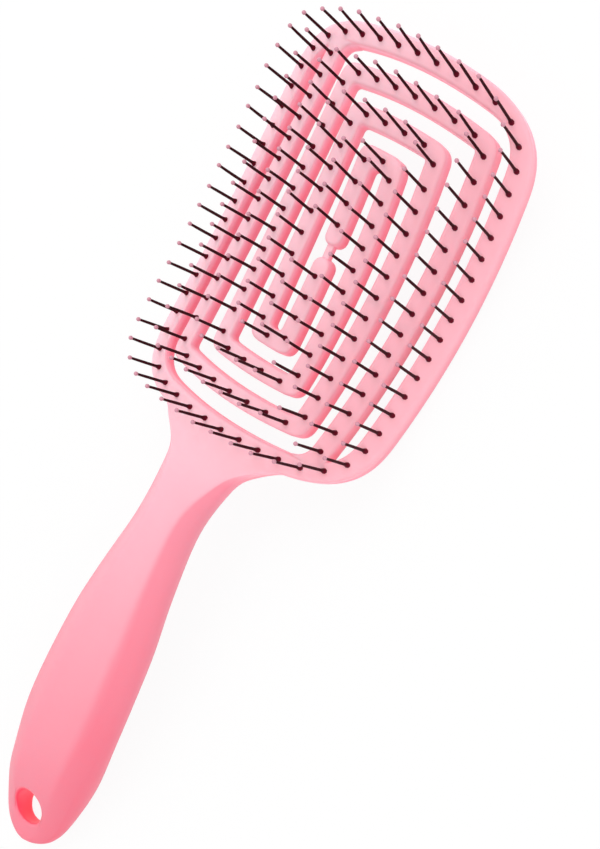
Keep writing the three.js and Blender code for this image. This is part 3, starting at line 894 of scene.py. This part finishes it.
hole_from, hole_to = HOLE_AT - HOLE_LENGTH / 2, HOLE_AT + HOLE_LENGTH / 2
for spot in (FRONT_SPOT, BACK_SPOT):
    doomed = strip_faces(spot, hole_from, hole_to, HOLE_SHARE)
    bmesh.ops.delete(body, geom=doomed, context="FACES")
rim_edges = [e for e in body.edges if e.is_boundary]
rim_verts = {v for e in rim_edges for v in e.verts}
rim_reach = max(across_at[v[station_layer]] for v in rim_verts)
for vert in rim_verts:
    across = across_at[vert[station_layer]] / rim_reach
    aim = Vector((across, 2 * (HOLE_AT - vert[along_layer]) / HOLE_LENGTH)).normalized()
    in_front = vert[spot_layer] == FRONT_SPOT
    ease = FRONT_EASE if in_front else BACK_EASE
    vert.co.x = aim.x * (HOLE_WIDTH / 2 + ease)
    vert.co.y = aim.y * (HOLE_LENGTH / 2 + ease) - HOLE_AT
    vert.co.z = handle_size(FRONT if in_front else BACK, -vert.co.y)
bmesh.ops.bridge_loops(body, edges=rim_edges)
round_off(body, rim_edges, LIP_ROUND, segments=4, affect="EDGES")
print("hanging hole with", len(rim_verts), "points on its rims")

# %% [markdown]
# The handle is hollow, and a cover closes it from behind. Its seat is pulled out of the faces of the back,
# first inwards across the flat and then into the handle. The extra steps close to the edge of the seat
# keep it crisp when the surface is subdivided.

# %% Seat of the rear cover
SEAT_DEPTH = 2.8
EDGE_HOLD = 0.2

seat_from, seat_to = COVER_START - COVER_MARGIN, COVER_END + COVER_MARGIN
seat = strip_faces(BACK_SPOT, seat_from, seat_to)
seat_steps = [
    (COVER_MARGIN - EDGE_HOLD, 0), (COVER_MARGIN, 0),
    (COVER_MARGIN, EDGE_HOLD), (COVER_MARGIN, SEAT_DEPTH),
]
for margin, depth in seat_steps:
    seat, fresh = pull(body, seat)
    for vert in fresh:
        at = max(seat_from + margin, min(seat_to - margin, vert[along_layer]))
        half = HANDLE_OUTLINE[BACK_SPOT - 1][0] * handle_size(HALF_WIDTH, at) - margin
        vert.co.x = across_at[vert[station_layer]] * half
        vert.co.y = -at
        vert.co.z = handle_size(BACK, at) + depth

brush_body = make_piece("brush_body", body, moulding_pink)
smooth = brush_body.modifiers.new("smooth", "SUBSURF")
smooth.levels = 1
smooth.render_levels = 1
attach(brush_body, "frame")
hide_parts("body_frame")

# %% [markdown]
# ## The spiral arms
# Each arm is one long rib. It leaves the ring near a corner, runs up a column, turns across, comes down the
# next free column, and so on to a round end in the middle. The second arm is the first one turned halfway
# round. An arm is a spring: when the middle is pressed, its columns tilt and its cross rows twist. So it is
# cut in the middle of two straight columns into three pieces.

# %% Lines of the arms
ARM_OUTSIDE = 1.0
ARM_INSIDE = 4.0
LOBE_GAP = 3.4
ROOT_SINK = 0.9
ROOT_HEIGHTS = (0.0, 0.15, 0.4, 0.8, 1.3, 2.0, 2.9, 4.0)
FIRST_CUT_Y = -8.0
SECOND_CUT_Y = 6.0

eighth = column(COLUMN_EIGHT)
third = column(-COLUMN_SEVEN, VENT_LEAN)
sixth = column(COLUMN_SIX, INNER_LEAN)
fifth = column(0, MIDDLE_LEAN)
root_y = crossing(eighth, row(-ROW_ONE)).y + RING_INSIDE - ROOT_SINK
lobe_y = LOBE_GAP / 2 + RIB_HALF
arm_lines = [eighth, row(ROW_TWO), third, row(-ROW_THREE), sixth, row(ROW_FOUR), fifth]
root_places = (0.0, *(ROOT_SINK + height for height in ROOT_HEIGHTS))
arm_track = Track(arm_lines, ARM_OUTSIDE, ARM_INSIDE, root_y, lobe_y, root_places)
arm_left, arm_right = arm_track.edge(RIB_HALF), arm_track.edge(-RIB_HALF)
arm_points = [(a + b) / 2 for a, b in zip(arm_left, arm_right)]


def nearest_station(points, x, y):
    return min(range(len(points)), key=lambda i: (points[i] - Vector((x, y, 0))).length)


first_cut = nearest_station(arm_points, COLUMN_EIGHT, FIRST_CUT_Y)
second_cut = nearest_station(arm_points, -COLUMN_SEVEN, SECOND_CUT_Y)
print("an arm has", len(arm_points), "stations and is cut at", first_cut, "and", second_cut)

# %% [markdown]
# The free end is round. Half of the section is spun half a turn about the upright axis at the end of the
# line, so that the rounded front edge and the groove both go round the end. At its root the rib flares
# into the ring with two fillets, a wide one on the inner side and a small one at the end of the slot.

# %% Making a length of rib
INNER_FILLET = 4.0
SLOT_FILLET = 1.7
SPIN_STEPS = 10
ON_AXIS = 0.001
HALF_TURN = Matrix.Rotation(math.pi, 4, "Z")


def turned(points, arm):
    return [p.copy() if arm == "a" else HALF_TURN @ p for p in points]


def fillet(point, radius, sense):
    foot = row(-ROW_ONE)["at"](point.x + sense * radius / 2).y + RING_INSIDE
    gap = min(radius, max(0.0, radius - (point.y - foot)))
    reach = radius - math.sqrt(radius * radius - gap * gap)
    return point + Vector((sense * reach, 0, 0)) if point.y < 0 else point


filleted = len(root_places)
root_left = [fillet(p, INNER_FILLET, -1) for p in arm_left[:filleted]]
root_right = [fillet(p, SLOT_FILLET, 1) for p in arm_right[:filleted]]
arm_matrices = {"a": station_matrices(
    root_left + arm_left[filleted:], root_right + arm_right[filleted:], RIB_HALF, RIB_HALF,
)}
arm_matrices["b"] = [HALF_TURN @ matrix for matrix in arm_matrices["a"]]


def round_end(bm, edges, matrix):
    into = matrix.inverted()
    half = [e for e in edges if all((into @ v.co).x < ON_AXIS for v in e.verts)]
    geometry = [*half, *{v for e in half for v in e.verts}]
    bmesh.ops.spin(
        bm, geom=geometry, cent=matrix.translation, axis=(0, 0, 1), angle=math.pi,
        steps=SPIN_STEPS, use_merge=False,
    )
    merge_doubles(bm)


def rib_length(section, matrices, ends_round):
    bm = bmesh.new()
    edges = section(bm)
    bmesh.ops.transform(bm, matrix=matrices[0], verts=bm.verts)
    last = sweep(bm, edges, matrices)
    if ends_round:
        round_end(bm, last, matrices[-1])
    bmesh.ops.holes_fill(bm, edges=[e for e in bm.edges if e.is_boundary], sides=0)
    lay_on_face(bm)
    return bm


print("the fillets at a root reach over", filleted, "stations")

# %% [markdown]
# Each length is given two places, turned halfway round for the second arm. For the first length they lie
# along the head, over its first stretch away from the ring; for the two others they lie across the head, in
# the cross row between their columns. The places are worked out, but nothing uses them yet: each piece is
# only baked where it stands.

# %% Places along the lengths
ROOT_BEND = ((25.6, -49.8), (25.6, -29.0))
TURN_TWIST = ((24.2, 34.0), (-15.0, 34.0))
INNER_TWIST = ((-13.8, -26.0), (-5.2, -26.0))


def bend_piece(piece, arm, length):
    places = [ROOT_BEND, TURN_TWIST, INNER_TWIST][length - 1]
    start, stop = [TO_FRAME @ p for p in turned([Vector((x, y, 0)) for x, y in places], arm)]
    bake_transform(piece)


def rib_profile(bm):
    return rib_section(bm, RIB_HALF, RIB_HALF, RIB_HALF - SIDE_WALL)


LENGTH_ENDS = [(0, first_cut), (first_cut, second_cut), (second_cut, len(arm_points) - 1)]
LAST = len(LENGTH_ENDS)
for arm in "ab":
    for length, (begin, end) in enumerate(LENGTH_ENDS, 1):
        bm = rib_length(rib_profile, arm_matrices[arm][begin:end + 1], ends_round=length == LAST)
        rib = make_piece(f"arm_{arm}_length_{length}", bm, moulding_pink)
        bend_piece(rib, arm, length)
        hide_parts(f"arm_{arm}{length}_rib")

# %% [markdown]
# A thin link joins the two round ends in the middle of the head. It hangs a little below the face. It
# belongs to the first arm, and its other end lies inside the end of the second.

# %% Centre link
LINK_HALF = 1.1
LINK_TOP = -0.9
LINK_DEPTH = 2.6
LINK_ROUND = 0.5
LINK_SINK = 0.9
LINK_REACH = LOBE_GAP / 2 + LINK_SINK


def bar_section(bm, half, bottom, top, radius):
    outline = [(half, top), (half, bottom), (-half, bottom), (-half, top)]
    round_off(bm, section_corners(bm, outline), radius, segments=2)
    return section_edges(bm)


def link_profile(bm):
    return bar_section(bm, LINK_HALF, LINK_TOP - LINK_DEPTH, LINK_TOP, LINK_ROUND)


link_track = Track([fifth], ARM_OUTSIDE, ARM_INSIDE, LINK_REACH, -LINK_REACH)
link_edges = link_track.edge(LINK_HALF), link_track.edge(-LINK_HALF)
link_matrices = station_matrices(*link_edges, LINK_HALF, LINK_HALF)
bm = rib_length(link_profile, link_matrices, ends_round=False)
centre_link = make_piece("centre_link", bm, moulding_pink)
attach(centre_link, "arm_a3")

# %% [markdown]
# ## The rear covers
# Behind, a cover strip lies in the groove of every rib and holds the pins. It is seen from the back as a
# slightly duller line between two thin gaps.

# %% Cover strips
FIT_GAP = 0.25
COVER_TOP = -3.8
COVER_THICKNESS = 1.4
COVER_ROUND = 0.25

cover_pink = pink_plastic("cover_pink_moulding", roughness=0.48)


def cover_profile(groove):
    half = groove - FIT_GAP
    return lambda bm: bar_section(bm, half, COVER_TOP - COVER_THICKNESS, COVER_TOP, COVER_ROUND)


bm = bmesh.new()
edges = cover_profile(RING_GROOVE)(bm)
bmesh.ops.transform(bm, matrix=ring_matrices[0], verts=bm.verts)
sweep(bm, edges, [*ring_matrices, ring_matrices[0]])
lay_on_face(bm)
ring_strip = make_piece("ring_cover_strip", bm, cover_pink)
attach(ring_strip, "frame")
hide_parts("ring_cover")

for arm in "ab":
    for length, (begin, end) in enumerate(LENGTH_ENDS, 1):
        begin = max(begin, filleted)
        strip_matrices = arm_matrices[arm][begin:end + 1]
        bm = rib_length(cover_profile(RIB_HALF - SIDE_WALL), strip_matrices, ends_round=False)
        strip = make_piece(f"arm_{arm}_cover_{length}", bm, cover_pink)
        bend_piece(strip, arm, length)
        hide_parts(f"arm_{arm}{length}_cover")

# %% [markdown]
# The cover of the handle is a long tapered plate in the seat. A line across the seat is swept along it, the
# ribbon is extruded to the thickness of the plate, and all its sharp edges are bevelled.

# %% Handle cover
PLATE_THICKNESS = 2.0
PLATE_RECESS = 0.3
PLATE_ROUND = 0.45
PLATE_SHARE = 0.52
PLATE_STATIONS = 23

plate_from, plate_to = COVER_START + FIT_GAP, COVER_END - FIT_GAP
plate_matrices = []
for i in range(PLATE_STATIONS):
    at = plate_from + (plate_to - plate_from) * i / (PLATE_STATIONS - 1)
    half = PLATE_SHARE * handle_size(HALF_WIDTH, at) - COVER_MARGIN - FIT_GAP
    seat_place = Matrix.Translation((0, -at, handle_size(BACK, at) + PLATE_RECESS))
    plate_matrices.append(seat_place @ Matrix.Diagonal((half, 1, 1, 1)))
bm = bmesh.new()
ends = [bm.verts.new((side, 0, 0)) for side in (-1, -0.5, 0, 0.5, 1)]
edges = [bm.edges.new(pair) for pair in zip(ends, ends[1:])]
bmesh.ops.transform(bm, matrix=plate_matrices[0], verts=bm.verts)
sweep(bm, edges, plate_matrices)
made = bmesh.ops.extrude_face_region(bm, geom=bm.faces[:])["geom"]
bmesh.ops.translate(bm, verts=of_kind(made, bmesh.types.BMVert), vec=(0, 0, PLATE_THICKNESS))
bmesh.ops.recalc_face_normals(bm, faces=bm.faces)
sharp = [e for e in bm.edges if e.calc_face_angle(0.0) > SHARP_ANGLE]
round_off(bm, sharp, PLATE_ROUND, segments=3, affect="EDGES")
plate = make_piece("handle_back_plate", bm, cover_pink)
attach(plate, "frame")
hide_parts("handle_cover")

# %% [markdown]
# ## The pins
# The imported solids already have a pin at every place, so the places are read from their tips: a corner of
# a pin strip that lies a whole pin's length above the face is a tip. One pin is spun from its profile and
# copied to each place. A few dozen faces each are enough for something one millimetre thick.

# %% One pin and one tip
PIN_LENGTH = 17.0
BALL_RADIUS = 0.62
BALL_STRETCH = 1.08
INTO_BALL = 0.15
TIP_SLACK = 0.1
PIN_SIDES = 8
PIN_PROFILE = [
    (0.80, -0.7), (0.79, 0.05), (0.63, 0.8), (0.47, 1.7), (0.43, 2.6), (0.42, 7.0), (0.40, 11.5),
    (0.35, PIN_LENGTH - 2 * BALL_RADIUS + INTO_BALL),
]


def spun(profile):
    bm = bmesh.new()
    verts = [bm.verts.new((radius, 0, z)) for radius, z in profile]
    edges = [bm.edges.new(pair) for pair in zip(verts, verts[1:])]
    bmesh.ops.spin(
        bm, geom=[*verts, *edges], cent=(0, 0, 0), axis=(0, 0, 1), angle=2 * math.pi,
        steps=PIN_SIDES, use_merge=True,
    )
    merge_doubles(bm)
    return bm


def pin_shape():
    bm = spun(PIN_PROFILE)
    bmesh.ops.holes_fill(bm, edges=[e for e in bm.edges if e.is_boundary], sides=0)
    return bm


def ball_shape():
    bm = bmesh.new()
    bmesh.ops.create_uvsphere(bm, u_segments=PIN_SIDES, v_segments=6, radius=BALL_RADIUS)
    bmesh.ops.scale(bm, vec=(1, 1, BALL_STRETCH), verts=bm.verts)
    bmesh.ops.translate(bm, vec=(0, 0, PIN_LENGTH - BALL_RADIUS * BALL_STRETCH), verts=bm.verts)
    return bm


def pin_places(node):
    places = set()
    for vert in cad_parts[node].data.vertices:
        x, y, z = TO_FRAME.inverted() @ vert.co
        if z - face_height(x, y) > PIN_LENGTH - TIP_SLACK:
            places.add((round(x, 2), round(y, 2)))
    return sorted(places)


strips = sorted(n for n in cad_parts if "_pins_" in n)
print(sum(len(pin_places(n)) for n in strips), "pins on", len(strips), "strips")

# %% [markdown]
# The pins lean a little towards the tip of the head, by a millimetre at most. Those on the left side and
# those nearest the handle stand upright. A pin that has been used is never quite straight either. Each
# bends by a few tenths of a millimetre, in a direction that is drawn with a fixed seed, so that every run
# gives the same brush.

# %% Planting the pins
MOST_BEND = 0.35
TIP_LEAN = 0.95
UPRIGHT_AT = (-28.0, -56.0)
LEANING_AT = (-2.0, -26.0)
SEED = 7
drawn = random.Random(SEED)


def some_bend():
    angle = drawn.uniform(0, 2 * math.pi)
    return Vector((math.cos(angle), math.sin(angle), 0)) * drawn.uniform(0, MOST_BEND)


def lean_at(place):
    lean = TIP_LEAN
    for at, upright, leaning in zip(place, UPRIGHT_AT, LEANING_AT):
        lean *= max(0.0, min(1.0, (at - upright) / (leaning - upright)))
    return Vector((0, lean, 0))


def planted(shape, places, bends):
    master = shape()
    base = [v.co.copy() for v in master.verts]
    bm = bmesh.new()
    rise_layer = bm.verts.layers.float.new("rise")
    loose = bpy.data.meshes.new("pattern")
    master.to_mesh(loose)
    master.free()
    for place in places:
        first = len(bm.verts)
        bm.from_mesh(loose)
        bm.verts.ensure_lookup_table()
        foot_at = Vector((*place, face_height(*place)))
        for vert, rest in zip(bm.verts[first:], base):
            share = max(0.0, rest.z / PIN_LENGTH)
            vert.co = foot_at + rest + lean_at(place) * share + bends[place] * share ** 2
            vert[rise_layer] = share
    bpy.data.meshes.remove(loose)
    return bm


def plant(name, places):
    bends = {place: some_bend() for place in places}
    pins = make_piece(f"{name}_pins", planted(pin_shape, places, bends), pin_black)
    tips = make_piece(f"{name}_tips", planted(ball_shape, places, bends), tip_pink)
    return pins, tips


ring_nodes = [n for n in strips if n.startswith("ring")]
for piece in plant("ring", [p for n in ring_nodes for p in pin_places(n)]):
    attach(piece, "frame")
    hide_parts(*ring_nodes)

for arm in "ab":
    points = turned(arm_points, arm)
    nodes = [n for n in strips if n.startswith(f"arm_{arm}")]
    places = [p for n in nodes for p in pin_places(n)]
    for length, (begin, end) in enumerate(LENGTH_ENDS, 1):
        own = [n for n in nodes if n.startswith(f"arm_{arm}{length}")]
        here = [p for p in places if begin <= nearest_station(points, *p) < end + (length == LAST)]
        for piece in plant(f"arm_{arm}_{length}", here):
            bend_piece(piece, arm, length)
            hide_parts(*own)
